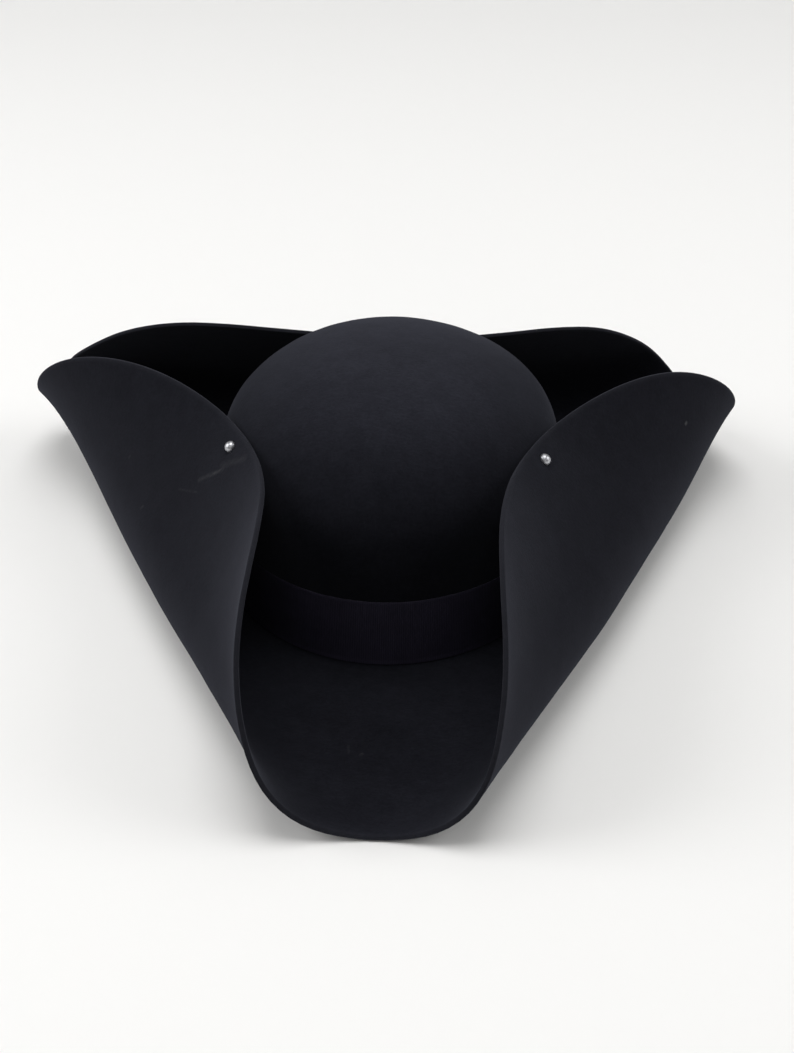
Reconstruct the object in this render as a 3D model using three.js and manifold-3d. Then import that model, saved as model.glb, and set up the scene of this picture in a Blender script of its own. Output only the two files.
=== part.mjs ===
// A black wool felt tricorn hat, in millimetres. Its front, the open spout, points to -Y, +X is on the
// right of someone who looks at that front, and the brim's underside lies on the plane z = 0.
// Crown and brim are one blocked piece of felt. The brim is cut flat, then rolled up along three folds, and
// a stud through each flap holds it against the crown. A ribbon lies round the crown's foot.

import * as THREE from "three";
import { mergeVertices } from "three/addons/utils/BufferGeometryUtils.js";
import Module from "manifold-3d";

const wasm = await Module();
wasm.setup();

// The crown, measured outside
const CROWN_WIDTH = 179;
const CROWN_LENGTH = 207;
const CROWN_WALL = 69.2;
const CROWN_DOME = 53;
const DOME_FULLNESS = 2.3;

// The felt and the inner radius where the crown turns into the brim
const FELT = 2.5;
const FOOT_RADIUS = 3;

// The brim, from the crown's foot to the cut edge, and the air between a flap and the crown it leans on
const BRIM_WIDTH = 146;
const FLAP_GAP = 0.6;

// The ribbon round the crown
const BAND_HEIGHT = 36;
const BAND_THICKNESS = 1;
const BAND_GAP = 0.3;

// The studs: a domed head outside the flap, a shank through both walls, and a flat tail inside the crown.
// The seats are the air under the head and above the tail, and STUD_INSET is how far the cut edge is away.
const STUD_HEAD_RADIUS = 3.1;
const STUD_HEAD_HEIGHT = 3.4;
const STUD_SHANK_RADIUS = 0.9;
const STUD_TAIL_RADIUS = 2.4;
const STUD_TAIL_THICKNESS = 0.8;
const STUD_INSET = 9;
const STUD_SEAT = 0.3;
const STUD_TAIL_SEAT = 0.6;
const STUD_HOLE_CLEARANCE = 0.3;

// The brim's cut: its width as a share of BRIM_WIDTH, by bearing. Bearings are degrees from the hat's right
// side (+X) through its back (+Y), so the front is at -90. The rows are evenly spaced.
const CUT = [
  { bearing: -90, width: 0.859 },
  { bearing: -75, width: 0.953 },
  { bearing: -60, width: 1.013 },
  { bearing: -45, width: 1.026 },
  { bearing: -30, width: 1.016 },
  { bearing: -15, width: 1.003 },
  { bearing: 0, width: 0.981 },
  { bearing: 15, width: 0.946 },
  { bearing: 30, width: 0.916 },
  { bearing: 45, width: 0.92 },
  { bearing: 60, width: 0.946 },
  { bearing: 75, width: 0.915 },
  { bearing: 90, width: 0.906 },
  { bearing: 105, width: 1.016 },
  { bearing: 120, width: 1.133 },
  { bearing: 135, width: 1.121 },
  { bearing: 150, width: 1.072 },
  { bearing: 165, width: 1.054 },
  { bearing: 180, width: 1.041 },
  { bearing: 195, width: 1.04 },
  { bearing: 210, width: 1.04 },
  { bearing: 225, width: 1.035 },
  { bearing: 240, width: 1.011 },
  { bearing: 255, width: 0.932 },
];

// The flaps. Each is rolled up along a fold line square to the bearing that it faces. start, bend and bow
// are shares of BRIM_WIDTH: the level felt between the crown's foot and the bend, the felt used up in the
// bend, and how far the line has moved out one BRIM_WIDTH along it. There the bend has lost ease_on degrees
// of its turn on the side of rising bearings, and ease_back degrees on the other.
const FLAPS = [
  { name: "left", facing: 204.9, start: 0.067, bend: 0.542, bow: -0.064, ease_on: 38, ease_back: 43.5 },
  { name: "right", facing: -23.7, start: 0.054, bend: 0.569, bow: -0.065, ease_on: 46.7, ease_back: 29.4 },
  { name: "back", facing: 90.9, start: 0.096, bend: 0.497, bow: -0.039, ease_on: 2.4, ease_back: 12.6 },
];

// The bearing of each flap's stud
const STUD_BEARINGS = { left: 206.6, right: -27.4, back: 90 };

// The rear corners are lifted a little too, by a given turn in degrees, along folds of the same kind
const CORNERS = [
  { name: "left", facing: 148, start: 0.215, bend: 0.48, bow: 0, ease_on: 0, ease_back: 0, turn: 7.7 },
  { name: "right", facing: 33.5, start: 0.21, bend: 0.48, bow: 0, ease_on: 0, ease_back: 0, turn: 13.5 },
];

// How finely the felt and the other pieces are divided
const BEARINGS = 84;
const CORNER_DENSITY = 0.2;
const DOME_ROWS = 8;
const FOOT_ROWS = 3;
const BRIM_ROWS = 18;
const BEND_STEPS = 16;
const BAND_SIDES = 64;
const STUD_SIDES = 12;
const HEAD_STEPS = 4;
const HOLE_SIDES = 8;

// How closely the search for a flap's turn looks
const TURN_LIMIT = 180;
const SEARCH_ROUNDS = 24;
const SEARCH_SPREAD = 60;
const SEARCH_STEP = 4;
const SEARCH_ROWS = 24;

// The looks of the three materials
const FELT_LOOK = { color: 0x17181b, roughness: 0.95, metalness: 0 };
const RIBBON_LOOK = { color: 0x101114, roughness: 0.8, metalness: 0 };
const STEEL_LOOK = { color: 0xb9bcc0, roughness: 0.3, metalness: 1 };

const HALF_WIDTH = CROWN_WIDTH / 2;
const HALF_LENGTH = CROWN_LENGTH / 2;
const HALF_FELT = FELT / 2;
const FULL_TURN = 2 * Math.PI;
const radians = THREE.MathUtils.degToRad;
const lerp = THREE.MathUtils.lerp;

// The level direction that a bearing in degrees points to
function direction(bearing) {
  const angle = radians(bearing);
  return new THREE.Vector2(Math.cos(angle), Math.sin(angle));
}

// A point of the crown's oval foot at an angle of the oval, and the level direction straight out from it
function footPoint(angle) {
  return new THREE.Vector2(HALF_WIDTH * Math.cos(angle), HALF_LENGTH * Math.sin(angle));
}

function footNormal(angle) {
  return new THREE.Vector2(Math.cos(angle) / HALF_WIDTH, Math.sin(angle) / HALF_LENGTH).normalize();
}

// How far the oval reaches from the middle of the hat towards a bearing
function ovalReach(facing) {
  const way = direction(facing);
  return Math.hypot(HALF_WIDTH * way.x, HALF_LENGTH * way.y);
}

// The brim's width at a bearing: a smooth closed curve through the rows of CUT
function brimWidth(bearing) {
  const spacing = 360 / CUT.length;
  const place = THREE.MathUtils.euclideanModulo(bearing - CUT[0].bearing, 360) / spacing;
  const row = Math.floor(place);
  const t = place - row;
  const share = (step) => CUT[(row + step + CUT.length) % CUT.length].width;
  const slopeHere = (share(1) - share(-1)) / 2;
  const slopeNext = (share(2) - share(0)) / 2;
  const rise = t * t * (3 - 2 * t);
  const swing = slopeHere * t * (1 - t) ** 2 - slopeNext * t * t * (1 - t);
  return BRIM_WIDTH * (lerp(share(0), share(1), rise) + swing);
}

// How far out and up felt has come that goes on past the start of a bend. The bend starts and ends gently.
function bendPath(past, length, turn) {
  const bent = Math.min(past, length);
  const step = bent / BEND_STEPS;
  const path = { out: (past - bent) * Math.cos(turn), up: (past - bent) * Math.sin(turn) };
  for (let i = 0; i < BEND_STEPS; i++) {
    const angle = turn * THREE.MathUtils.smoothstep((i + 0.5) * step, 0, length);
    path.out += step * Math.cos(angle);
    path.up += step * Math.sin(angle);
  }
  return path;
}

// How one fold moves a point of the flat brim
function foldShift(fold, flat, turn) {
  const way = direction(fold.facing);
  const along = (way.x * flat.y - way.y * flat.x) / BRIM_WIDTH;
  const line = ovalReach(fold.facing) + BRIM_WIDTH * (fold.start + fold.bow * along * along);
  const past = flat.dot(way) - line;
  if (past <= 0) return new THREE.Vector3();
  const ease = along > 0 ? fold.ease_on : fold.ease_back;
  const turned = radians(Math.max(turn - ease * along * along, 0));
  const path = bendPath(past, BRIM_WIDTH * fold.bend, turned);
  return new THREE.Vector3(way.x * (path.out - past), way.y * (path.out - past), path.up);
}

// A point of the brim's middle layer, a distance out from the crown's foot at an angle of the oval. turns
// holds the turn of each flap.
function brimPoint(angle, distance, turns) {
  const flat = footPoint(angle).addScaledVector(footNormal(angle), distance);
  const point = new THREE.Vector3(flat.x, flat.y, HALF_FELT);
  FLAPS.forEach((flap) => point.add(foldShift(flap, flat, turns[flap.name])));
  CORNERS.forEach((corner) => point.add(foldShift(corner, flat, corner.turn)));
  return point;
}

// Roughly how far a point lies outside the crown's outer face. It is below zero inside.
function crownDistance(point) {
  const level = Math.hypot(point.x / HALF_WIDTH, point.y / HALF_LENGTH);
  const rise = Math.max(point.z - CROWN_WALL, 0) / CROWN_DOME;
  return HALF_WIDTH * ((level ** DOME_FULLNESS + rise ** DOME_FULLNESS) ** (1 / DOME_FULLNESS) - 1);
}

// The turn that lays a flap against the crown: the largest one that keeps all of it FLAP_GAP clear
function settledTurn(flap) {
  const nearest = (turn) => {
    let least = Infinity;
    for (let bearing = -SEARCH_SPREAD; bearing <= SEARCH_SPREAD; bearing += SEARCH_STEP) {
      const angle = radians(flap.facing + bearing);
      for (let row = 1; row <= SEARCH_ROWS; row++) {
        const width = (brimWidth(flap.facing + bearing) * row) / SEARCH_ROWS;
        const flat = footPoint(angle).addScaledVector(footNormal(angle), width);
        const point = foldShift(flap, flat, turn);
        const lifted = point.z > FELT;
        point.add(new THREE.Vector3(flat.x, flat.y, HALF_FELT));
        if (lifted) least = Math.min(least, crownDistance(point));
      }
    }
    return least - HALF_FELT;
  };
  let low = 0;
  let high = TURN_LIMIT;
  for (let i = 0; i < SEARCH_ROUNDS; i++) {
    const turn = (low + high) / 2;
    if (nearest(turn) > FLAP_GAP) low = turn;
    else high = turn;
  }
  return low;
}
const TURNS = Object.fromEntries(FLAPS.map((flap) => [flap.name, settledTurn(flap)]));

// A point of the crown's middle layer, at a height angle from 0 at the dome's foot to 90 degrees at its top
function domePoint(angle, height) {
  const power = 2 / DOME_FULLNESS;
  const level = Math.max(Math.cos(height), 0) ** power;
  const x = (HALF_WIDTH - HALF_FELT) * Math.cos(angle) * level;
  const y = (HALF_LENGTH - HALF_FELT) * Math.sin(angle) * level;
  return new THREE.Vector3(x, y, CROWN_WALL + (CROWN_DOME - HALF_FELT) * Math.sin(height) ** power);
}

// The rounded turn from the crown's wall into the brim, by share from the wall down to the brim
function turnPoint(angle, share) {
  const radius = FOOT_RADIUS + HALF_FELT;
  const dip = (share * Math.PI) / 2;
  const out = radius * (1 - Math.cos(dip)) - HALF_FELT;
  const place = footPoint(angle).addScaledVector(footNormal(angle), out);
  return new THREE.Vector3(place.x, place.y, HALF_FELT + radius * (1 - Math.sin(dip)));
}

// Angles round the oval, closer together at the spout's and the brim's corners, where the felt bends most
const ANGLES = Array.from({ length: BEARINGS }, (_, i) => {
  const even = (FULL_TURN * i) / BEARINGS;
  return even + (CORNER_DENSITY / 4) * Math.sin(4 * even);
});

// The middle layer of the felt as rings of points, from just under the crown's top to the cut edge
function feltRings() {
  const rings = [];
  for (let row = 1; row <= DOME_ROWS; row++) {
    const height = (Math.PI / 2) * (1 - row / DOME_ROWS);
    rings.push(ANGLES.map((angle) => domePoint(angle, height)));
  }
  for (let row = 0; row <= FOOT_ROWS; row++) {
    rings.push(ANGLES.map((angle) => turnPoint(angle, row / FOOT_ROWS)));
  }
  for (let row = 1; row <= BRIM_ROWS; row++) {
    const share = row / BRIM_ROWS;
    rings.push(
      ANGLES.map((angle) => {
        const width = brimWidth(THREE.MathUtils.radToDeg(angle));
        return brimPoint(angle, lerp(FOOT_RADIUS, width, share), TURNS);
      }),
    );
  }
  return rings;
}

// The direction straight out of the felt, on the crown's outside and the brim's upper side, at each point
function ringNormals(rings) {
  return rings.map((ring, i) =>
    ring.map((point, j) => {
      const before = rings[Math.max(i - 1, 0)][j];
      const after = rings[Math.min(i + 1, rings.length - 1)][j];
      const down = after.clone().sub(before);
      const round = ring[(j + 1) % BEARINGS].clone().sub(ring[(j + BEARINGS - 1) % BEARINGS]);
      return down.cross(round).normalize();
    }),
  );
}

// A closed solid from rings of points. Each ring is joined to the next, and a point closes each end.
function ringSolid(top, rings, bottom) {
  const sides = rings[0].length;
  const points = [top, ...rings.flat(), bottom];
  const last = points.length - 1;
  const index = [];
  const at = (ring, side) => 1 + ring * sides + (side % sides);
  for (let side = 0; side < sides; side++) {
    index.push(0, at(0, side), at(0, side + 1));
    for (let ring = 0; ring < rings.length - 1; ring++) {
      index.push(at(ring, side), at(ring + 1, side), at(ring + 1, side + 1));
      index.push(at(ring, side), at(ring + 1, side + 1), at(ring, side + 1));
    }
    index.push(last, at(rings.length - 1, side + 1), at(rings.length - 1, side));
  }
  const geometry = new THREE.BufferGeometry().setFromPoints(points);
  geometry.setIndex(index);
  return geometry;
}

// The felt: its outer face, then back along its inner face
function feltGeometry() {
  const rings = feltRings();
  const normals = ringNormals(rings);
  const face = (side) =>
    rings.map((ring, i) =>
      ring.map((point, j) => point.clone().addScaledVector(normals[i][j], side * HALF_FELT)),
    );
  const height = CROWN_WALL + CROWN_DOME;
  const top = new THREE.Vector3(0, 0, height);
  const under = new THREE.Vector3(0, 0, height - FELT);
  return ringSolid(top, [...face(1), ...face(-1).reverse()], under);
}

// The ribbon: a straight oval tube that stands on the rounded turn at the crown's foot
function bandGeometry() {
  const low = FELT + FOOT_RADIUS + BAND_GAP;
  const outline = (grow, height) =>
    Array.from({ length: BAND_SIDES }, (_, i) => {
      const angle = (FULL_TURN * i) / BAND_SIDES;
      const place = footPoint(angle).addScaledVector(footNormal(angle), grow);
      return new THREE.Vector3(place.x, place.y, height);
    });
  const outer = BAND_GAP + BAND_THICKNESS;
  const loops = [
    outline(outer, low + BAND_HEIGHT),
    outline(outer, low),
    outline(BAND_GAP, low),
    outline(BAND_GAP, low + BAND_HEIGHT),
  ];
  const index = [];
  const at = (loop, side) => (loop % loops.length) * BAND_SIDES + (side % BAND_SIDES);
  loops.forEach((_, loop) => {
    for (let side = 0; side < BAND_SIDES; side++) {
      index.push(at(loop, side), at(loop + 1, side), at(loop + 1, side + 1));
      index.push(at(loop, side), at(loop + 1, side + 1), at(loop, side + 1));
    }
  });
  const geometry = new THREE.BufferGeometry().setFromPoints(loops.flat());
  geometry.setIndex(index);
  return geometry;
}

// Where a flap's stud goes: the place on the flap's middle layer, and the axis that points outwards from it
function studPlace(flap) {
  const bearing = STUD_BEARINGS[flap.name];
  const angle = radians(bearing);
  const distance = brimWidth(bearing) - STUD_INSET;
  const place = brimPoint(angle, distance, TURNS);
  const along = brimPoint(angle, distance + 1, TURNS).sub(brimPoint(angle, distance - 1, TURNS));
  const step = radians(1);
  const round = brimPoint(angle + step, distance, TURNS).sub(brimPoint(angle - step, distance, TURNS));
  return { place, axis: round.cross(along).normalize() };
}

// How far from the flap's middle layer, inwards along the stud, the crown's inner face lies
function studReach(place, axis) {
  let near = 0;
  let far = HALF_WIDTH;
  for (let i = 0; i < SEARCH_ROUNDS; i++) {
    const reach = (near + far) / 2;
    if (crownDistance(place.clone().addScaledVector(axis, -reach)) > -FELT) near = reach;
    else far = reach;
  }
  return near;
}

// How much room the flat tail needs because the crown's wall is not square to the stud
function tailRoom(place, axis, reach) {
  const centre = place.clone().addScaledVector(axis, -reach);
  const tilt = new THREE.Quaternion().setFromUnitVectors(new THREE.Vector3(0, 0, 1), axis);
  let room = 0;
  for (let side = 0; side < STUD_SIDES; side++) {
    const angle = (FULL_TURN * side) / STUD_SIDES;
    const rim = new THREE.Vector3(Math.cos(angle), Math.sin(angle), 0).multiplyScalar(STUD_TAIL_RADIUS);
    room = Math.max(room, crownDistance(centre.clone().add(rim.applyQuaternion(tilt))) + FELT);
  }
  return room + STUD_TAIL_SEAT;
}

// A stud along +Z, with z = 0 at the flap's middle layer and its tail at z = -tail
function studGeometry(tail) {
  const seat = HALF_FELT + STUD_SEAT;
  const profile = [new THREE.Vector2(0, -tail - STUD_TAIL_THICKNESS)];
  profile.push(new THREE.Vector2(STUD_TAIL_RADIUS, -tail - STUD_TAIL_THICKNESS));
  profile.push(new THREE.Vector2(STUD_TAIL_RADIUS, -tail));
  profile.push(new THREE.Vector2(STUD_SHANK_RADIUS, -tail));
  profile.push(new THREE.Vector2(STUD_SHANK_RADIUS, seat));
  for (let step = 0; step <= HEAD_STEPS; step++) {
    const angle = ((Math.PI / 2) * step) / HEAD_STEPS;
    const radius = step < HEAD_STEPS ? STUD_HEAD_RADIUS * Math.cos(angle) : 0;
    profile.push(new THREE.Vector2(radius, seat + STUD_HEAD_HEIGHT * Math.sin(angle)));
  }
  return new THREE.LatheGeometry(profile, STUD_SIDES).rotateX(Math.PI / 2);
}

// The hole that a stud goes through, along +Z in the stud's own frame
function holeGeometry(tail) {
  const length = tail + STUD_HEAD_HEIGHT + FELT;
  const radius = STUD_SHANK_RADIUS + STUD_HOLE_CLEARANCE;
  const geometry = new THREE.CylinderGeometry(radius, radius, length, HOLE_SIDES).rotateX(Math.PI / 2);
  return geometry.translate(0, 0, FELT - length / 2);
}

// A closed mesh as a solid that can be cut, and back again
function toSolid(geometry) {
  const bare = geometry.clone();
  bare.deleteAttribute("normal");
  bare.deleteAttribute("uv");
  const merged = mergeVertices(bare);
  const triVerts = new Uint32Array(merged.index.array);
  const vertProperties = new Float32Array(merged.attributes.position.array);
  return new wasm.Manifold(new wasm.Mesh({ numProp: 3, vertProperties, triVerts }));
}

function toGeometry(solid) {
  const mesh = solid.getMesh();
  const geometry = new THREE.BufferGeometry();
  geometry.setAttribute("position", new THREE.BufferAttribute(mesh.vertProperties, 3));
  geometry.setIndex(new THREE.BufferAttribute(mesh.triVerts, 1));
  return geometry;
}

function namedMesh(name, geometry, look) {
  geometry.computeVertexNormals();
  const mesh = new THREE.Mesh(geometry, new THREE.MeshStandardMaterial(look));
  mesh.name = name;
  return mesh;
}

// Assembly
const hat = new THREE.Group();
let felt = toSolid(feltGeometry());
FLAPS.forEach((flap) => {
  const { place, axis } = studPlace(flap);
  const reach = studReach(place, axis);
  const tail = reach + tailRoom(place, axis, reach);
  const frame = new THREE.Object3D();
  frame.position.copy(place);
  frame.quaternion.setFromUnitVectors(new THREE.Vector3(0, 0, 1), axis);
  frame.updateMatrix();
  felt = felt.subtract(toSolid(holeGeometry(tail).applyMatrix4(frame.matrix)));
  const stud = namedMesh("stud_" + flap.name, studGeometry(tail), STEEL_LOOK);
  stud.position.copy(frame.position);
  stud.quaternion.copy(frame.quaternion);
  hat.add(stud);
});
hat.add(namedMesh("felt_body", toGeometry(felt), FELT_LOOK));
hat.add(namedMesh("hat_band", bandGeometry(), RIBBON_LOOK));

// The origin is the middle of the hat's footprint, on the plane that it rests on
const box = new THREE.Box3().setFromObject(hat);
const middle = box.getCenter(new THREE.Vector3());
hat.position.set(-middle.x, -middle.y, -box.min.z);
const group = new THREE.Group();
group.add(hat);

export default group;
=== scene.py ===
# %% [markdown]
# # A black wool felt tricorn
# A tricorn is a round crown with a wide brim rolled up on three sides. This lesson builds one round a packed
# CAD frame: the frame fixes every size and place, and Blender makes what is seen. We shape the felt, lay a
# ribbon at its foot, set the studs, and then light the hat and look at it.

# %% Load the frame
import math
import bmesh
import bpy
import numpy as np
from mathutils import Matrix, Vector, kdtree, noise


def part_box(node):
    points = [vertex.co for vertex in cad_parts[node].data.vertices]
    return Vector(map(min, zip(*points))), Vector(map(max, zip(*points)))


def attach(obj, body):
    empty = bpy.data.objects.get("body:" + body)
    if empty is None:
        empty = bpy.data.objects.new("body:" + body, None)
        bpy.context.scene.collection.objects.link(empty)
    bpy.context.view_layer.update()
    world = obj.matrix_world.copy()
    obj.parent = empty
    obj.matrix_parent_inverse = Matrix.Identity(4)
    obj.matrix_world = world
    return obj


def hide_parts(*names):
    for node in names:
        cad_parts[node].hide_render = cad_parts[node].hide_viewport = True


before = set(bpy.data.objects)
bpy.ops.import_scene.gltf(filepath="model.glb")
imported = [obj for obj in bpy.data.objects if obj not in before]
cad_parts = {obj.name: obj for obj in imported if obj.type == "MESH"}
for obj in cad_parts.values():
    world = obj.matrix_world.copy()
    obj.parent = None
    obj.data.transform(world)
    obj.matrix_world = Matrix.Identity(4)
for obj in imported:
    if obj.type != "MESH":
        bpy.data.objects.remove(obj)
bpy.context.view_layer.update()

# %% [markdown]
# ## Sizes
# The frame says where the ribbon is, and the ribbon lies round the foot of the crown. So its box gives the
# middle of the crown, and the crown's own half width and half length once the ribbon is taken off. The felt's
# thickness, the brim and the dome are named here once, in metres. Everything else is worked out from them.
# The middle of the crown is also the origin of all the shapes below, until each piece is moved to its place.

# %% Sizes of the felt
MM = 0.001
FELT = 2.5 * MM
BAND_GAP = 0.3 * MM
BAND_THICKNESS = 1.0 * MM
FOOT_RADIUS = 3 * MM
BRIM_WIDTH = 146 * MM
CROWN_DOME = 53 * MM
DOME_FULLNESS = 2.3

band_low, band_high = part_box("hat_band")
felt_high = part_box("felt_body")[1]
MIDDLE = (band_low + band_high) / 2
HALF_WIDTH = (band_high.x - band_low.x) / 2 - BAND_GAP - BAND_THICKNESS
HALF_LENGTH = (band_high.y - band_low.y) / 2 - BAND_GAP - BAND_THICKNESS
CROWN_WALL = felt_high.z - CROWN_DOME
print("crown half width and length in mm:", round(HALF_WIDTH / MM, 1), round(HALF_LENGTH / MM, 1))

# %% [markdown]
# ## How the brim is shaped
# A hatter cuts the brim flat, then rolls it up along three folds and steams it. A real flap could be modelled
# by cloth simulation, but blocked felt is stiff: it bends like card, without stretching. So each fold here is
# a roll of the flat sheet about one straight line, and the shape of the brim is the sum of its rolls.
# The tables hold the cut and the folds: left flap, right flap, back flap, then the small lifts of the two
# rear corners. Widths, starts, bends and bows are shares of BRIM_WIDTH, angles are degrees, and bearings run
# from the hat's right side (+X) through its back (+Y), so the front is at -90.

# %% The cut and the folds
CUT = {
    -90: 0.859, -75: 0.953, -60: 1.013, -45: 1.026, -30: 1.016, -15: 1.003,
    0: 0.981, 15: 0.946, 30: 0.916, 45: 0.92, 60: 0.946, 75: 0.915,
    90: 0.906, 105: 1.016, 120: 1.133, 135: 1.121, 150: 1.072, 165: 1.054,
    180: 1.041, 195: 1.04, 210: 1.04, 225: 1.035, 240: 1.011, 255: 0.932,
}
FOLDS = [
    dict(facing=204.9, start=0.067, bend=0.542, bow=-0.064, ease_on=38, ease_back=43.5, turn=132.12),
    dict(facing=-23.7, start=0.054, bend=0.569, bow=-0.065, ease_on=46.7, ease_back=29.4, turn=132.78),
    dict(facing=90.9, start=0.096, bend=0.497, bow=-0.039, ease_on=2.4, ease_back=12.6, turn=134.67),
    dict(facing=148, start=0.215, bend=0.48, bow=0, ease_on=0, ease_back=0, turn=7.7),
    dict(facing=33.5, start=0.21, bend=0.48, bow=0, ease_on=0, ease_back=0, turn=13.5),
]
BEND_STEPS = 24


def brim_width(bearing):
    """The width of the cut at bearings in degrees: a smooth closed curve through the rows of CUT."""
    shares = np.array(list(CUT.values()))
    place = (np.asarray(bearing) + 90) % 360 / (360 / len(CUT))
    row = np.floor(place).astype(int)
    t = place - row
    before, here, after, beyond = (shares[(row + k) % len(CUT)] for k in (-1, 0, 1, 2))
    rise = t * t * (3 - 2 * t)
    slopes = (after - before) / 2 * t * (1 - t) ** 2 - (beyond - here) / 2 * t * t * (1 - t)
    return BRIM_WIDTH * (here + (after - here) * rise + slopes)


def foot(angle):
    """Points of the crown's oval foot, and the level directions straight out from it."""
    point = np.stack([HALF_WIDTH * np.cos(angle), HALF_LENGTH * np.sin(angle)], -1)
    out = np.stack([np.cos(angle) / HALF_WIDTH, np.sin(angle) / HALF_LENGTH], -1)
    return point, out / np.linalg.norm(out, axis=-1, keepdims=True)


def fold_shift(fold, flat):
    """How one fold moves points of the flat brim: the bend starts and ends gently, as felt does."""
    way = np.array([math.cos(math.radians(fold["facing"])), math.sin(math.radians(fold["facing"]))])
    along = (way[0] * flat[:, 1] - way[1] * flat[:, 0]) / BRIM_WIDTH
    reach = math.hypot(HALF_WIDTH * way[0], HALF_LENGTH * way[1])
    past = flat @ way - reach - BRIM_WIDTH * (fold["start"] + fold["bow"] * along**2)
    past = np.maximum(past, 0)
    ease = np.where(along > 0, fold["ease_on"], fold["ease_back"])
    turn = np.radians(np.maximum(fold["turn"] - ease * along**2, 0))
    length = BRIM_WIDTH * fold["bend"]
    bent = np.minimum(past, length)
    out = (past - bent) * np.cos(turn)
    up = (past - bent) * np.sin(turn)
    for i in range(BEND_STEPS):
        share = bent * (i + 0.5) / BEND_STEPS / length
        angle = turn * share * share * (3 - 2 * share)
        out += bent / BEND_STEPS * np.cos(angle)
        up += bent / BEND_STEPS * np.sin(angle)
    return np.stack([way[0] * (out - past), way[1] * (out - past), up], -1)


def brim_points(angle, distance):
    """Points of the brim's middle layer, at distances out from the crown's foot."""
    point, out = foot(angle)
    flat = point + out * distance[:, None]
    shaped = np.column_stack([flat, np.full(len(flat), FELT / 2)])
    for fold in FOLDS:
        shaped += fold_shift(fold, flat)
    return shaped


print("brim width at the front in mm:", round(float(brim_width(-90)) / MM, 1))

# %% [markdown]
# ## The felt
# Crown and brim are one piece, so one sheet makes both. We start from a flat grid. Its columns become
# bearings round the hat, and its rows run from the top of the crown down the wall, round the foot and out
# over the brim. One function places every point, the seam and the pole are merged, and a Solidify modifier
# gives the wall. A grid keeps the faces even, which felt needs: long thin triangles would show as streaks in
# the soft light.

# %% Place the rows of the felt
BEARINGS = 264
DOME_ROWS = 34
WALL_ROWS = 10
FOOT_ROWS = 5
BRIM_ROWS = 74
ROWS = DOME_ROWS + WALL_ROWS + FOOT_ROWS + BRIM_ROWS


def dome_points(angle, height):
    """Points of the dome's middle layer, by height angle: 0 at its foot and a quarter turn at its top."""
    power = 2 / DOME_FULLNESS
    level = np.maximum(np.cos(height), 0) ** power
    x = (HALF_WIDTH - FELT / 2) * np.cos(angle) * level
    y = (HALF_LENGTH - FELT / 2) * np.sin(angle) * level
    z = CROWN_WALL + (CROWN_DOME - FELT / 2) * np.maximum(np.sin(height), 0) ** power
    return np.stack([x, y, z], -1)


def felt_points(angle, row):
    """Points of the felt's middle layer, by angle round the hat and by row from the crown's top."""
    point, out = foot(angle)
    radius = FOOT_RADIUS + FELT / 2
    wall_start, foot_start, brim_start = np.cumsum([DOME_ROWS, WALL_ROWS, FOOT_ROWS])
    dome = dome_points(angle, math.pi / 2 * np.clip(1 - row / DOME_ROWS, 0, 1))
    drop = np.clip((row - wall_start) / WALL_ROWS, 0, 1)
    dip = np.clip((row - foot_start) / FOOT_ROWS, 0, 1) * math.pi / 2
    turned = point + out * (radius * (1 - np.cos(dip)) - FELT / 2)[:, None]
    low = FELT / 2 + radius * (1 - np.sin(dip))
    wall = np.column_stack([turned, CROWN_WALL + (low - CROWN_WALL) * drop])
    share = np.clip((row - brim_start) / BRIM_ROWS, 0, 1)
    width = brim_width(np.degrees(angle))
    brim = brim_points(angle, FOOT_RADIUS + (width - FOOT_RADIUS) * share)
    points = np.where((row <= wall_start)[:, None], dome, wall)
    return np.where((row > brim_start)[:, None], brim, points)


print("the felt's grid:", BEARINGS, "bearings by", ROWS, "rows")

# %% [markdown]
# ### Making it look handled
# A perfect surface reads as plastic. Felt blocked by hand has slow dents and swells a few tenths of a
# millimetre deep, and its cut edge wanders a little. Each stud pulls the felt in, so the sheet rises gently
# round it. mathutils.noise gives the same values each run, so the hat never changes between renders.

# %% Unevenness of hand work
STUD_INSET = 9 * MM
STUD_BEARINGS = {"left": 206.6, "right": -27.4, "back": 90}
SWELL = 0.5 * MM
SWELL_SIZE = 55 * MM
RIPPLE = 0.12 * MM
RIPPLE_SIZE = 14 * MM
RIPPLE_SHIFT = Vector((7, 3, 5))
PUCKER = 0.7 * MM
PUCKER_INNER = 4.5 * MM
PUCKER_OUTER = 17 * MM


def brim_place(bearing, inset):
    """A point of the brim's middle layer, by its distance from the cut edge, and the way out below it."""
    angle = math.radians(bearing)
    distance = float(brim_width(bearing)) - inset
    step = math.radians(1)
    angles = np.array([angle, angle, angle, angle + step, angle - step])
    distances = distance + np.array([0, MM, -MM, 0, 0])
    place, after, before, on, back = (Vector(p) for p in brim_points(angles, distances))
    return place, (on - back).cross(after - before).normalized()


STUDS = {name: brim_place(bearing, STUD_INSET) for name, bearing in STUD_BEARINGS.items()}


def unevenness(place):
    """How far the felt stands off its ideal surface at a place, in metres."""
    swell = SWELL * noise.noise(place / SWELL_SIZE)
    ripple = RIPPLE * noise.noise(place / RIPPLE_SIZE + RIPPLE_SHIFT)
    pucker = 0
    for stud, _ in STUDS.values():
        near = (place - stud).length
        ring = 1 - math.exp(-((near / PUCKER_INNER) ** 2))
        pucker -= PUCKER * ring * math.exp(-((near / PUCKER_OUTER) ** 2))
    return swell + ripple + pucker


print("the studs' heights in mm:", [round(place.z / MM, 1) for place, _ in STUDS.values()])

# %% [markdown]
# ### From a grid to a piece
# Two helpers do this. The first makes the sheets of felt and ribbon: it starts a grid with Blender's own
# operator, lets a function move its points, and merges the points that meet, which closes the seam and the
# pole. The second serves every piece, the studs too: it moves a finished shape to the hat's place, smooths its
# shading and hands it to the frame.

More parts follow.
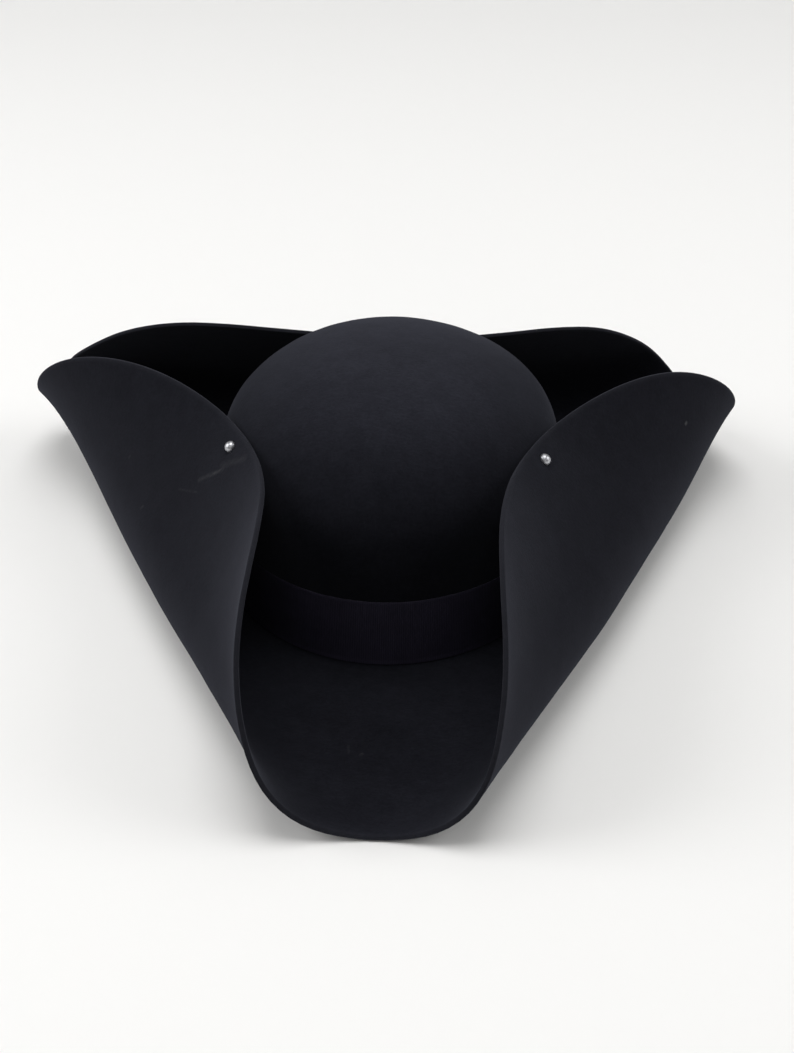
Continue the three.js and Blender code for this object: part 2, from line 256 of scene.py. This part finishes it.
# %% Build the felt sheet
MERGE_DISTANCE = 0.01 * MM


def merged_grid(name, across, down, place):
    """A sheet from a grid: place(u, v) moves its points, u from 0 to 1 across and v from 0 to 1 down."""
    sheet = bmesh.new()
    sheet.loops.layers.uv.new("UVMap")
    bmesh.ops.create_grid(sheet, x_segments=across, y_segments=down, size=0.5, calc_uvs=True)
    sheet.verts.ensure_lookup_table()
    corners = np.array([vert.co for vert in sheet.verts]) + 0.5
    for vert, point in zip(sheet.verts, place(corners[:, 0], corners[:, 1])):
        vert.co = point
    bmesh.ops.remove_doubles(sheet, verts=sheet.verts, dist=MERGE_DISTANCE)
    sheet.normal_update()
    print(name, "sheet:", len(sheet.verts), "points,", len(sheet.faces), "faces")
    return sheet


def finished_piece(name, sheet):
    """Moves a shape to the hat's place, smooths its shading and makes it a piece that rides on the hat."""
    bmesh.ops.translate(sheet, verts=sheet.verts, vec=Vector((MIDDLE.x, MIDDLE.y, 0)))
    mesh = bpy.data.meshes.new(name)
    sheet.to_mesh(mesh)
    sheet.free()
    mesh.polygons.foreach_set("use_smooth", [True] * len(mesh.polygons))
    piece = bpy.data.objects.new(name, mesh)
    bpy.context.scene.collection.objects.link(piece)
    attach(piece, "root")
    return piece


def place_felt(u, v):
    """The felt's points for the grid."""
    return felt_points(2 * math.pi * u, (1 - v) * ROWS)


felt_sheet = merged_grid("felt", BEARINGS, ROWS, place_felt)
edge_layer = felt_sheet.verts.layers.float.new("edge")
rim = [vert.co.copy() for vert in felt_sheet.verts if vert.is_boundary]
print("points on the cut edge:", len(rim))

# %% [markdown]
# The attribute called edge is 1 on the cut edge and falls to 0 a few millimetres in. The material reads it
# later to rub the edge a little lighter, because that is where a felt hat is handled. The dents leave out the
# flat felt on the floor, so that the hat still stands level.

# %% Dent the felt and mark its edge
EDGE_REACH = 6 * MM
EDGE_ROUNDING = 0.7 * MM

rim_tree = kdtree.KDTree(len(rim))
for number, point in enumerate(rim):
    rim_tree.insert(point, number)
rim_tree.balance()
for vert in felt_sheet.verts:
    nearest = rim_tree.find(vert.co)[2]
    vert[edge_layer] = max(0.0, 1 - nearest / EDGE_REACH)
moves = [(vert, vert.normal * unevenness(vert.co)) for vert in felt_sheet.verts]
for vert, move in moves:
    if vert.co.z > FELT:
        vert.co += move

felt = finished_piece("wool_felt", felt_sheet)
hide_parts("felt_body")
wall = felt.modifiers.new("felt wall", "SOLIDIFY")
wall.thickness = FELT
wall.offset = 0
wall.use_even_offset = True
rounding = felt.modifiers.new("soft cut edge", "BEVEL")
rounding.width = EDGE_ROUNDING
rounding.segments = 3
rounding.limit_method = "ANGLE"
rounding.angle_limit = math.radians(50)
print("points above the flat felt:", sum(vert.co.z > FELT for vert in felt.data.vertices))

# %% [markdown]
# ## The ribbon
# The ribbon is a flat woven strip pulled tight round the crown. It could be a simulated cloth, but a
# stretched ribbon has nothing left to sag, so a grid bent to a strip is enough. Its edges wander slightly,
# because a real ribbon never sits perfectly level on felt, and its lower edge follows the rounded foot
# outward. Smooth shading would bend the light over the thin upper edge, so a Weighted Normal modifier keeps
# the ribbon's face flat.

# %% Build the ribbon
BAND_COLUMNS = 256
BAND_ROWS = 28
BAND_WANDER = 0.4 * MM
BAND_WAVES = 4
WANDER_SHIFT = Vector((0, 0, 2))
FOOT_WANDER = 0.3
BAND_SINK = 1.8 * MM
RIBBON = 0.4 * MM
BAND_HEIGHT = band_high.z - band_low.z + BAND_SINK


def place_band(u, v):
    """The ribbon's middle layer for the grid."""
    angle = 2 * math.pi * u
    point, out = foot(angle)
    circle = [Vector((math.cos(a), math.sin(a), 0)) * BAND_WAVES for a in angle]
    wander = BAND_WANDER * np.array([noise.noise(place + WANDER_SHIFT) for place in circle])
    level = band_low.z - BAND_SINK + BAND_HEIGHT * v + wander * (FOOT_WANDER + (1 - FOOT_WANDER) * v)
    below = np.maximum(FELT + FOOT_RADIUS - level, 0)
    flare = FOOT_RADIUS - np.sqrt(FOOT_RADIUS**2 - below**2)
    return np.column_stack([point + out * (BAND_GAP + RIBBON / 2 + flare)[:, None], level])


band = finished_piece("grosgrain_band", merged_grid("ribbon", BAND_COLUMNS, BAND_ROWS, place_band))
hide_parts("hat_band")
ribbon_wall = band.modifiers.new("ribbon wall", "SOLIDIFY")
ribbon_wall.thickness = RIBBON
ribbon_wall.offset = 0
band.modifiers.new("flat shading of the face", "WEIGHTED_NORMAL")
print("ribbon from", round((band_low.z - BAND_SINK) / MM, 1), "to", round(band_high.z / MM, 1), "mm up")

# %% [markdown]
# ## The studs
# A stud is a small turned steel piece: a domed head with a thin rim, a shank through both walls of felt, and
# a flat tail inside the crown. Anything turned on a lathe is a spin in Blender. We draw half of its outline
# as a chain of points, spin that round the axis, and merge the two ends on the axis.

# %% Turn a stud
HEAD_RADIUS = 3.1 * MM
HEAD_HEIGHT = 3.4 * MM
RIM_HEIGHT = 0.5 * MM
SHANK_RADIUS = 0.9 * MM
TAIL_RADIUS = 2.4 * MM
TAIL_THICKNESS = 0.8 * MM
HEAD_GAP = 0.3 * MM
SEAT = FELT / 2 + HEAD_GAP
STUD_ROUNDING = 0.12 * MM
SPIN_STEPS = 40
DOME_STEPS = 10


def stud_outline(tail):
    """Half of a stud's outline, from the tail's middle out and up to the top of the head."""
    outline = [(0, -tail - TAIL_THICKNESS), (TAIL_RADIUS, -tail - TAIL_THICKNESS), (TAIL_RADIUS, -tail)]
    outline += [(SHANK_RADIUS, -tail), (SHANK_RADIUS, SEAT), (HEAD_RADIUS, SEAT)]
    for step in range(DOME_STEPS + 1):
        angle = math.pi / 2 * step / DOME_STEPS
        height = SEAT + RIM_HEIGHT + (HEAD_HEIGHT - RIM_HEIGHT) * math.sin(angle)
        outline.append((HEAD_RADIUS * math.cos(angle), height))
    return outline


def build_stud(name, place, axis):
    """One stud, as long as its CAD node, at its place on the flap."""
    node = "stud_" + name
    home = Vector((MIDDLE.x, MIDDLE.y, 0)) + place
    vertices = [vert.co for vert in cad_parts[node].data.vertices]
    tail = -min((vert - home).dot(axis) for vert in vertices) - TAIL_THICKNESS
    turned = bmesh.new()
    chain = [turned.verts.new((x, 0, z)) for x, z in stud_outline(tail)]
    edges = [turned.edges.new(pair) for pair in zip(chain, chain[1:])]
    bmesh.ops.spin(
        turned, geom=chain + edges, cent=(0, 0, 0), axis=(0, 0, 1), angle=2 * math.pi, steps=SPIN_STEPS,
        use_merge=True,
    )
    bmesh.ops.remove_doubles(turned, verts=turned.verts, dist=MERGE_DISTANCE)
    bmesh.ops.recalc_face_normals(turned, faces=turned.faces)
    turn = axis.to_track_quat("Z", "Y").to_matrix().to_4x4()
    bmesh.ops.transform(turned, matrix=Matrix.Translation(place) @ turn, verts=turned.verts)
    stud = finished_piece("steel_stud_" + name, turned)
    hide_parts(node)
    soften = stud.modifiers.new("rounded edges", "BEVEL")
    soften.width = STUD_ROUNDING
    soften.segments = 2
    soften.limit_method = "ANGLE"
    soften.angle_limit = math.radians(40)
    print(node, "reaches", round(tail / MM, 2), "mm into the crown")
    return stud


studs = [build_stud(name, place, axis) for name, (place, axis) in STUDS.items()]

# %% [markdown]
# ## Tools for the materials
# All colours here are worked out from noise and from places on the hat, so nothing has to be painted. These
# short functions add a node or two each, and the materials below then read like a recipe.

# %% Node helpers
NOISE_DETAIL = 4
NOISE_ROUGHNESS = 0.65


def new_material(name):
    """A new material, with its tree, its shader and an Object coordinate."""
    material = bpy.data.materials.new(name)
    material.use_nodes = True
    tree = material.node_tree
    shader = tree.nodes["Principled BSDF"]
    coordinate = tree.nodes.new("ShaderNodeTexCoord").outputs["Object"]
    return material, tree, shader, coordinate


def stretched_noise(tree, coordinate, scale, stretch, turn):
    """Noise in a turned frame: an uneven stretch draws it out into short fibres along one direction."""
    mapping = tree.nodes.new("ShaderNodeMapping")
    mapping.inputs["Scale"].default_value = stretch
    mapping.inputs["Rotation"].default_value = turn
    tree.links.new(coordinate, mapping.inputs["Vector"])
    grain = tree.nodes.new("ShaderNodeTexNoise")
    grain.inputs["Scale"].default_value = scale
    grain.inputs["Detail"].default_value = NOISE_DETAIL
    grain.inputs["Roughness"].default_value = NOISE_ROUGHNESS
    tree.links.new(mapping.outputs["Vector"], grain.inputs["Vector"])
    return grain.outputs["Fac"]


def blended(tree, kind, first, second):
    """A full colour mix of two sockets."""
    mix = tree.nodes.new("ShaderNodeMix")
    mix.data_type = "RGBA"
    mix.blend_type = kind
    mix.inputs["Factor"].default_value = 1
    tree.links.new(first, mix.inputs["A"])
    tree.links.new(second, mix.inputs["B"])
    return mix.outputs["Result"]


def ramp(tree, factor, stops):
    """A colour ramp through (position, colour) stops."""
    node = tree.nodes.new("ShaderNodeValToRGB")
    elements = node.color_ramp.elements
    while len(elements) < len(stops):
        elements.new(0.5)
    for element, (position, colour) in zip(elements, stops):
        element.position = position
        element.color = (*colour, 1)
    tree.links.new(factor, node.inputs["Fac"])
    return node.outputs["Color"]


def vector_step(tree, operation, first, second):
    """One step of vector arithmetic between two sockets or values."""
    step = tree.nodes.new("ShaderNodeVectorMath")
    step.operation = operation
    for socket, value in ((step.inputs[0], first), (step.inputs[1], second)):
        if isinstance(value, bpy.types.NodeSocket):
            tree.links.new(value, socket)
        else:
            socket.default_value = value
    return step


print("noise detail and roughness:", NOISE_DETAIL, NOISE_ROUGHNESS)

# %% [markdown]
# ## Scuffs and lint
# A handled hat isn't evenly black. The felt is rubbed below the left stud, and a few specks of lint lie on
# the brim. Each row of the table is one mark: the bearing and the distance from the cut edge of its two ends,
# the side of the sheet it is on (1 for the brim's underside, which the flaps turn outward), how far it
# reaches, and how light it is. A speck is simply a very short mark. The fibres break each mark up, so BROKEN
# gives two places in their noise and the share of the mark's light there.

# %% Scuffs
BROKEN = [(0.3, 0.4), (0.7, 1.6)]
SCUFFS = [
    dict(start=(204.8, 33.5 * MM), end=(208.3, 19.5 * MM), face=1, reach=2.2 * MM, light=0.008),
    dict(start=(206.7, 26.8 * MM), end=(207.9, 21.2 * MM), face=1, reach=1.4 * MM, light=0.009),
    dict(start=(207.7, 18.4 * MM), end=(211.0, 6.0 * MM), face=1, reach=3.5 * MM, light=0.006),
    dict(start=(201.8, 45.0 * MM), end=(206.1, 38.7 * MM), face=1, reach=1.2 * MM, light=0.004),
    dict(start=(195.0, 66.3 * MM), end=(195.3, 65.0 * MM), face=1, reach=1.3 * MM, light=0.011),
    dict(start=(185.2, 46.2 * MM), end=(185.4, 45.4 * MM), face=1, reach=1.2 * MM, light=0.008),
    dict(start=(5.2, 24.1 * MM), end=(5.4, 23.4 * MM), face=1, reach=1.5 * MM, light=0.030),
    dict(start=(-92.9, 57.4 * MM), end=(-93.1, 56.4 * MM), face=-1, reach=1.4 * MM, light=0.011),
    dict(start=(-95.4, 64.0 * MM), end=(-95.1, 58.7 * MM), face=-1, reach=1.1 * MM, light=0.006),
]


def mark_end(scuff, end):
    """Where one end of a scuff is, on its side of the felt."""
    place, out = brim_place(*scuff[end])
    return place + out * scuff["face"] * FELT / 2 + Vector((MIDDLE.x, MIDDLE.y, 0))


def scuffed(tree, coordinate, grain, scuff):
    """The light colour of one scuff: full on the line between its ends, none beyond its reach."""
    start = mark_end(scuff, "start")
    way = mark_end(scuff, "end") - start
    offset = vector_step(tree, "SUBTRACT", coordinate, start).outputs["Vector"]
    along = vector_step(tree, "DOT_PRODUCT", offset, way / way.length_squared).outputs["Value"]
    share = tree.nodes.new("ShaderNodeClamp")
    tree.links.new(along, share.inputs["Value"])
    nearest = vector_step(tree, "SCALE", way, (0, 0, 0))
    tree.links.new(share.outputs["Result"], nearest.inputs["Scale"])
    away = vector_step(tree, "DISTANCE", offset, nearest.outputs["Vector"]).outputs["Value"]
    fade = tree.nodes.new("ShaderNodeMapRange")
    fade.interpolation_type = "SMOOTHSTEP"
    fade.inputs["From Max"].default_value = scuff["reach"]
    fade.inputs["To Min"].default_value = 1
    fade.inputs["To Max"].default_value = 0
    tree.links.new(away, fade.inputs["Value"])
    broken = ramp(tree, grain, [(stop, [part * scuff["light"]] * 3) for stop, part in BROKEN])
    return blended(tree, "MULTIPLY", fade.outputs["Result"], broken)


print("scuffs and specks:", len(SCUFFS))

# %% [markdown]
# ## The wool felt's material
# Felt is a mat of short fibres. From a distance it is dead matte, with a pale bloom where we look along the
# surface, because there the fuzz stands up against the light. That bloom is the shader's sheen. Close up it
# is a mottle of lighter and darker fibres, so two stretched noises drive the colour and a small bump. Two
# slower noises make the cloudy patches of felt that has been steamed, brushed and handled. The colour is
# also painted lighter or darker by height: a painted highlight on the top of the crown, painted shade at the
# middle heights between the flaps, and painted light low on the brim. A table gives this lightness at shares
# of the hat's height. A ramp that is smoothed can't go above 1, so it holds shares of a peak value, and the
# grain's two colours are that much lighter.

# %% Felt material
FIBRE_SCALE = 700
FIBRE_SHAPE = 0.4
CLOUD_SCALE = 22
PATCH_SCALE = 110
NAP_DEPTH = 0.25 * MM
# Lightness by height, painted light and shade: lighter at the crown's top and low on the brim, darker between.
PAINTED_LIGHT_BY_HEIGHT = [(0.0, 1.6), (0.17, 0.72), (0.45, 0.7), (0.7, 0.85), (0.86, 0.92), (1.0, 2.0)]
PAINTED_LIGHT_PEAK = 2


def felt_material():
    """Black wool felt, with light and shade painted into its colour by height."""
    material, tree, shader, coordinate = new_material("wool felt")
    shader.inputs["Roughness"].default_value = 0.95
    shader.inputs["Specular IOR Level"].default_value = 0.0
    shader.inputs["Sheen Weight"].default_value = 0.119
    shader.inputs["Sheen Roughness"].default_value = 0.5
    shader.inputs["Sheen Tint"].default_value = (0.6, 0.62, 0.75, 1)
    fibres = stretched_noise(tree, coordinate, FIBRE_SCALE, (1, 1, FIBRE_SHAPE), (0.5, 0.2, 0.4))
    crossing = stretched_noise(tree, coordinate, FIBRE_SCALE, (FIBRE_SHAPE, 1, 1), (0.3, 0.9, 1.2))
    matted = blended(tree, "LIGHTEN", fibres, crossing)
    clouds = stretched_noise(tree, coordinate, CLOUD_SCALE, (1, 1, 1), (0, 0, 0))
    cloudy = ramp(tree, clouds, [(0.3, (0.86, 0.86, 0.86)), (0.7, (1.12, 1.12, 1.12))])
    patches = stretched_noise(tree, coordinate, PATCH_SCALE, (1, 1, 1), (0.4, 0, 0))
    patchy = ramp(tree, patches, [(0.3, (0.88, 0.88, 0.88)), (0.7, (1.12, 1.12, 1.12))])
    height = tree.nodes.new("ShaderNodeSeparateXYZ")
    tree.links.new(coordinate, height.inputs["Vector"])
    share = tree.nodes.new("ShaderNodeMapRange")
    share.inputs["From Max"].default_value = felt_high.z
    tree.links.new(height.outputs["Z"], share.inputs["Value"])
    # Painted light and shade by height, multiplied into the felt's colour.
    painted_light = ramp(tree, share.outputs["Result"], [(stop, [light / PAINTED_LIGHT_PEAK] * 3) for stop, light in PAINTED_LIGHT_BY_HEIGHT])
    painted_light.node.color_ramp.interpolation = "B_SPLINE"
    mottle_and_painted_light = blended(tree, "MULTIPLY", blended(tree, "MULTIPLY", cloudy, patchy), painted_light)
    grain = ramp(tree, matted, [(0.35, (0.0112, 0.0116, 0.0158)), (0.75, (0.0188, 0.0196, 0.0262))])
    edge = tree.nodes.new("ShaderNodeAttribute")
    edge.attribute_name = "edge"
    rubbed = ramp(tree, edge.outputs["Fac"], [(0.55, (0, 0, 0)), (1.0, (0.006, 0.006, 0.007))])
    colour = blended(tree, "ADD", blended(tree, "MULTIPLY", grain, mottle_and_painted_light), rubbed)
    for scuff in SCUFFS:
        colour = blended(tree, "ADD", colour, scuffed(tree, coordinate, fibres, scuff))
    tree.links.new(colour, shader.inputs["Base Color"])
    bump = tree.nodes.new("ShaderNodeBump")
    bump.inputs["Strength"].default_value = 0.42
    bump.inputs["Distance"].default_value = NAP_DEPTH
    tree.links.new(matted, bump.inputs["Height"])
    tree.links.new(bump.outputs["Normal"], shader.inputs["Normal"])
    return material


felt.data.materials.append(felt_material())
print("felt material nodes:", len(felt.data.materials[0].node_tree.nodes))

# %% [markdown]
# ## The ribbon's material
# Grosgrain is woven with thick threads that run across the ribbon, so it shows fine upright ribs. Their
# grooves get painted shade and their crests painted light in the colour, on top of a bump. The ribs follow
# the ribbon and not the room, so they read its UV map, where U runs once round the hat.

# %% Ribbon material
RIBS = 620
WAVES_PER_SCALE = 10 / math.pi
RIB_DEPTH = 0.1 * MM
RIBBON_WEAR_SCALE = 60


def ribbon_material():
    """Black grosgrain."""
    material, tree, shader, coordinate = new_material("grosgrain")
    shader.inputs["Roughness"].default_value = 0.7
    shader.inputs["Specular IOR Level"].default_value = 0.15
    shader.inputs["Sheen Weight"].default_value = 0.04
    shader.inputs["Sheen Roughness"].default_value = 0.4
    shader.inputs["Sheen Tint"].default_value = (0.6, 0.6, 0.7, 1)
    unwrapped = tree.nodes.new("ShaderNodeTexCoord").outputs["UV"]
    ribs = tree.nodes.new("ShaderNodeTexWave")
    ribs.wave_profile = "SIN"
    ribs.inputs["Scale"].default_value = RIBS / WAVES_PER_SCALE
    ribs.inputs["Distortion"].default_value = 0.4
    ribs.inputs["Detail Scale"].default_value = 2
    tree.links.new(unwrapped, ribs.inputs["Vector"])
    wear = stretched_noise(tree, coordinate, RIBBON_WEAR_SCALE, (1, 1, 1), (0, 0, 0))
    # Painted shade in the rib grooves and painted light on the crests, following the bump's wave.
    shaded_groove, lit_crest = (0.0190, 0.0168, 0.0296), (0.0286, 0.0254, 0.0433)
    ribs_with_painted_shade = ramp(tree, ribs.outputs["Fac"], [(0.0, shaded_groove), (1.0, lit_crest)])
    wear_colour = ramp(tree, wear, [(0.3, (0.85, 0.85, 0.85)), (0.75, (1.2, 1.2, 1.2))])
    tree.links.new(blended(tree, "MULTIPLY", ribs_with_painted_shade, wear_colour), shader.inputs["Base Color"])
    bump = tree.nodes.new("ShaderNodeBump")
    bump.inputs["Strength"].default_value = 0.35
    bump.inputs["Distance"].default_value = RIB_DEPTH
    tree.links.new(ribs.outputs["Fac"], bump.inputs["Height"])
    tree.links.new(bump.outputs["Normal"], shader.inputs["Normal"])
    return material


band.data.materials.append(ribbon_material())
print("ribbon material nodes:", len(band.data.materials[0].node_tree.nodes))

# %% [markdown]
# ## The studs' material
# Polished steel is a mirror with faint scratches. A fine noise varies the roughness, so the highlight breaks
# up a little at its rim and the head doesn't look like chrome.

# %% Steel material
SCRATCH_SCALE = 1800


def steel_material():
    """Bright steel with hairline wear."""
    material, tree, shader, coordinate = new_material("stud steel")
    shader.inputs["Metallic"].default_value = 1
    wear = stretched_noise(tree, coordinate, SCRATCH_SCALE, (1, 0.4, 1), (0.2, 0.1, 0.7))
    colour = ramp(tree, wear, [(0.3, (0.44, 0.445, 0.47)), (0.7, (0.5, 0.505, 0.53))])
    tree.links.new(colour, shader.inputs["Base Color"])
    rough = ramp(tree, wear, [(0.3, (0.34, 0.34, 0.34)), (0.8, (0.42, 0.42, 0.42))])
    tree.links.new(rough, shader.inputs["Roughness"])
    return material


steel = steel_material()
for stud in studs:
    stud.data.materials.append(steel)
print("studs with steel:", len(studs))

# %% [markdown]
# ## The room
# The hat stands on a plain white floor, in an even white glow from all round. The floor is a plain sheet
# that isn't attached to the hat.

# %% Floor and glow
FLOOR_SIZE = 12.0

floor_sheet = bmesh.new()
bmesh.ops.create_grid(floor_sheet, x_segments=1, y_segments=1, size=FLOOR_SIZE / 2)
floor_mesh = bpy.data.meshes.new("floor")
floor_sheet.to_mesh(floor_mesh)
floor_sheet.free()
floor = bpy.data.objects.new("floor", floor_mesh)
bpy.context.scene.collection.objects.link(floor)
floor_paint = bpy.data.materials.new("white floor")
floor_paint.use_nodes = True
floor_shader = floor_paint.node_tree.nodes["Principled BSDF"]
floor_shader.inputs["Base Color"].default_value = (0.87, 0.866, 0.855, 1)
floor_shader.inputs["Roughness"].default_value = 0.9
floor_mesh.materials.append(floor_paint)
print("floor:", FLOOR_SIZE, "m square")

world = bpy.data.worlds.new("white room")
bpy.context.scene.world = world
world.use_nodes = True
glow = world.node_tree.nodes["Background"]
glow.inputs["Color"].default_value = (1.0, 0.995, 0.985, 1)
glow.inputs["Strength"].default_value = 0.28

# %% [markdown]
# ## The lights
# Three large square lights, above the hat and at its two sides, do most of the work. Two weak ones, behind it
# and in front, soften the shadows. Their size is what makes the edges of the shadows soft.

# %% Lights
SOFTBOX_SIZE = 1.5
LIT_POINT = Vector((0, 0, 0))
SOFTBOXES = [
    dict(name="overhead softbox", place=(0.0, 0.1, 2.4), power=27.5),
    dict(name="back softbox", place=(0.0, 1.9, 1.7), power=2.0),
    dict(name="front softbox", place=(0.0, -1.9, 1.7), power=2.4),
    dict(name="left softbox", place=(-2.0, 0.0, 1.3), power=28.0),
    dict(name="right softbox", place=(2.0, 0.0, 1.3), power=17.5),
]


def soft_light(name, place, power):
    """Hangs a square area light at a place, turned to face the lit point."""
    light = bpy.data.lights.new(name, "AREA")
    light.size = SOFTBOX_SIZE
    light.energy = power
    lamp = bpy.data.objects.new(name, light)
    lamp.location = place
    lamp.rotation_euler = (LIT_POINT - Vector(place)).to_track_quat("-Z", "Y").to_euler()
    bpy.context.scene.collection.objects.link(lamp)


for box in SOFTBOXES:
    soft_light(**box)
bpy.context.scene.view_settings.view_transform = "Standard"
bpy.context.scene.view_settings.look = "None"
print("lights:", len(SOFTBOXES))

# %% [markdown]
# ## The camera
# The camera looks down at the front of the hat. Its place is given as a height angle, a small swing to one
# side and a distance from a point near the crown's foot, which is how a photographer would set it.

# %% Camera
HEIGHT_ANGLE = math.radians(33)
SWING = math.radians(1.97)
LEAN = math.radians(-0.53)
DISTANCE = 971 * MM
LENS_MM = 60.57
AIM = Vector((MIDDLE.x + 3.0 * MM, MIDDLE.y, 19.0 * MM))

level = math.cos(HEIGHT_ANGLE)
back = Vector((math.sin(SWING) * level, -math.cos(SWING) * level, math.sin(HEIGHT_ANGLE)))
right = Vector((math.cos(SWING), math.sin(SWING), 0))
up = back.cross(right)
leaning_right = math.cos(LEAN) * right + math.sin(LEAN) * up
camera = bpy.data.objects.new("camera", bpy.data.cameras.new("camera"))
camera.data.lens = LENS_MM
camera.data.clip_start = 0.05
camera.data.clip_end = 30
axes = Matrix((leaning_right, back.cross(leaning_right), back)).transposed()
camera.matrix_world = Matrix.Translation(AIM + back * DISTANCE) @ axes.to_4x4()
bpy.context.scene.collection.objects.link(camera)
bpy.context.scene.camera = camera
print("camera at:", [round(c, 3) for c in AIM + back * DISTANCE])
